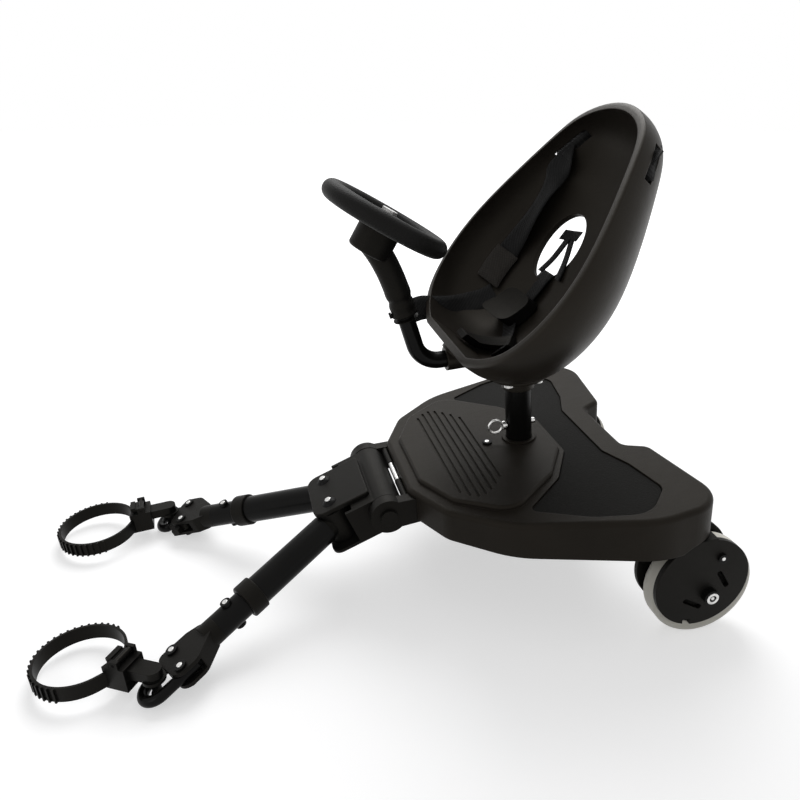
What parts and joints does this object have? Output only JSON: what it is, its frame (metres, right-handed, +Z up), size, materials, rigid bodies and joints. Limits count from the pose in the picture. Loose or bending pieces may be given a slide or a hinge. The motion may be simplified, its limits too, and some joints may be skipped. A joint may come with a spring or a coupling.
{
  "type": "buggy board with seat",
  "caption": "Ride-on board for behind a pushchair: dark deck on pale wheels, egg-shaped bucket seat, toy steering wheel, folding hitch arms with hooks and toothed clamps.",
  "frame": {"origin": "middle of the foot of the whole board, on the floor", "axes": "+X to the rear, +Y to the right-hand side of travel, +Z up"},
  "size_m": [0.6629, 0.3446, 0.4608],
  "materials": {
    "deck_plastic": "satin warm black",
    "mat_rubber": "flat black",
    "seat_plastic": "satin black",
    "hitch_plastic": "satin black",
    "tube_paint": "gloss black",
    "steel": "bright zinc",
    "tyre_cream": "milky",
    "webbing": "woven",
    "pad_cloth": "soft grey",
    "band_plastic": "matt"
  },
  "bodies": {
    "deck": {"deck_tray": "deck_plastic", "grip_mat": "mat_rubber", "hitch_bracket": "hitch_plastic", "bracket_screws": "steel", "hinge_pin": "steel", "lock_bar": "steel", "wheel_fork_left": "deck_plastic", "wheel_fork_right": "deck_plastic", "axle_bolts": "steel", "fork_screws": "steel", "post_socket": "deck_plastic", "seat_post": "tube_paint", "seat_plate": "tube_paint", "seat_bolts": "steel", "seat_shell": "seat_plastic", "shoulder_straps": "webbing", "shoulder_pads": "pad_cloth", "waist_straps": "webbing", "crotch_strap": "webbing", "harness_buckle": "seat_plastic", "strap_adjusters": "seat_plastic", "column_socket": "seat_plastic", "column_tube": "tube_paint", "steering_neck": "seat_plastic", "steering_spindle": "steel", "trim_screws": "steel"},
    "yoke": {"yoke_shell": "hitch_plastic", "yoke_cover": "hitch_plastic", "pivot_rivets": "steel"},
    "steering": {"steering_wheel": "seat_plastic"},
    "pin": {"post_pin": "steel"},
    "wheel_left": {"tyre_left": "tyre_cream", "hub_left": "deck_plastic", "bushes_left": "hitch_plastic"},
    "arm_left": {"arm_knuckle_left": "hitch_plastic", "arm_tube_left": "tube_paint", "arm_collar_left": "hitch_plastic"},
    "slider_left": {"inner_tube_left": "tube_paint", "hook_socket_left": "hitch_plastic", "hook_left": "hitch_plastic", "hook_fasteners_left": "steel"},
    "gate_left": {"hook_gate_left": "hitch_plastic"},
    "clamp_left": {"clamp_buckle_left": "hitch_plastic", "ladder_strap_left": "band_plastic"},
    "pawl_left": {"pawl_lever_left": "hitch_plastic"},
    "wheel_right": {"tyre_right": "tyre_cream", "hub_right": "deck_plastic", "bushes_right": "hitch_plastic"},
    "arm_right": {"arm_knuckle_right": "hitch_plastic", "arm_tube_right": "tube_paint", "arm_collar_right": "hitch_plastic"},
    "slider_right": {"inner_tube_right": "tube_paint", "hook_socket_right": "hitch_plastic", "hook_right": "hitch_plastic", "hook_fasteners_right": "steel"},
    "gate_right": {"hook_gate_right": "hitch_plastic"},
    "clamp_right": {"clamp_buckle_right": "hitch_plastic", "ladder_strap_right": "band_plastic"},
    "pawl_right": {"pawl_lever_right": "hitch_plastic"}
  },
  "joints": [
    {"name": "hitch_fold", "type": "hinge", "parent": "deck", "child": "yoke", "pos_m": [0.00579, 0, 0.1061], "axis": [0, 1, 0], "range_deg": [-15, 80]},
    {"name": "steering_turn", "type": "hinge", "parent": "deck", "child": "steering", "pos_m": [0.01672, 0, 0.37008], "axis": [0.5005, 0, 0.8658], "continuous": true},
    {"name": "post_pin_pull", "type": "slide", "parent": "deck", "child": "pin", "axis": [-0.9964, 0, -0.0849], "range_m": [0, 0.045]},
    {"name": "wheel_left_spin", "type": "hinge", "parent": "deck", "child": "wheel_left", "pos_m": [0.28145, -0.1454, 0.05], "axis": [0, 1, 0], "continuous": true},
    {"name": "arm_left_swing", "type": "hinge", "parent": "yoke", "child": "arm_left", "pos_m": [-0.0373, -0.02075, 0.08735], "axis": [-0.3989, 0, 0.917], "range_deg": [-10, 20]},
    {"name": "arm_left_reach", "type": "slide", "parent": "arm_left", "child": "slider_left", "axis": [-0.8036, -0.4818, -0.3496], "range_m": [0, 0.055]},
    {"name": "hook_gate_left_open", "type": "hinge", "parent": "slider_left", "child": "gate_left", "pos_m": [-0.19352, -0.10527, 0.0194], "axis": [-0.3989, 0, 0.917], "range_deg": [0, 20], "stiffness_Nm_per_rad": 0.2, "springref_deg": -20.05},
    {"name": "clamp_left_swivel", "type": "hinge", "parent": "slider_left", "child": "clamp_left", "pos_m": [-0.21027, -0.13015, 0.01211], "axis": [-0.0731, 0.0475, 0.9962], "range_deg": [-5, 100]},
    {"name": "pawl_left_lift", "type": "hinge", "parent": "clamp_left", "child": "pawl_left", "pos_m": [-0.23571, -0.11363, 0.03756], "axis": [-0.5446, -0.8387, 0], "range_deg": [-25, 0], "stiffness_Nm_per_rad": 0.1, "springref_deg": 20.05},
    {"name": "wheel_right_spin", "type": "hinge", "parent": "deck", "child": "wheel_right", "pos_m": [0.28145, 0.1454, 0.05], "axis": [0, 1, 0], "continuous": true},
    {"name": "arm_right_swing", "type": "hinge", "parent": "yoke", "child": "arm_right", "pos_m": [-0.0373, 0.02075, 0.08735], "axis": [-0.3989, 0, 0.917], "range_deg": [-20, 10]},
    {"name": "arm_right_reach", "type": "slide", "parent": "arm_right", "child": "slider_right", "axis": [-0.8036, 0.4818, -0.3496], "range_m": [0, 0.055]},
    {"name": "hook_gate_right_open", "type": "hinge", "parent": "slider_right", "child": "gate_right", "pos_m": [-0.19352, 0.10527, 0.0194], "axis": [-0.3989, 0, 0.917], "range_deg": [-20, 0], "stiffness_Nm_per_rad": 0.2, "springref_deg": 20.05},
    {"name": "clamp_right_swivel", "type": "hinge", "parent": "slider_right", "child": "clamp_right", "pos_m": [-0.21027, 0.13015, 0.01211], "axis": [-0.0869, -0.0061, 0.9962], "range_deg": [-100, 10]},
    {"name": "pawl_right_lift", "type": "hinge", "parent": "clamp_right", "child": "pawl_right", "pos_m": [-0.24053, 0.12804, 0.03756], "axis": [0.0698, -0.9976, 0], "range_deg": [-25, 0], "stiffness_Nm_per_rad": 0.1, "springref_deg": 20.05}
  ]
}
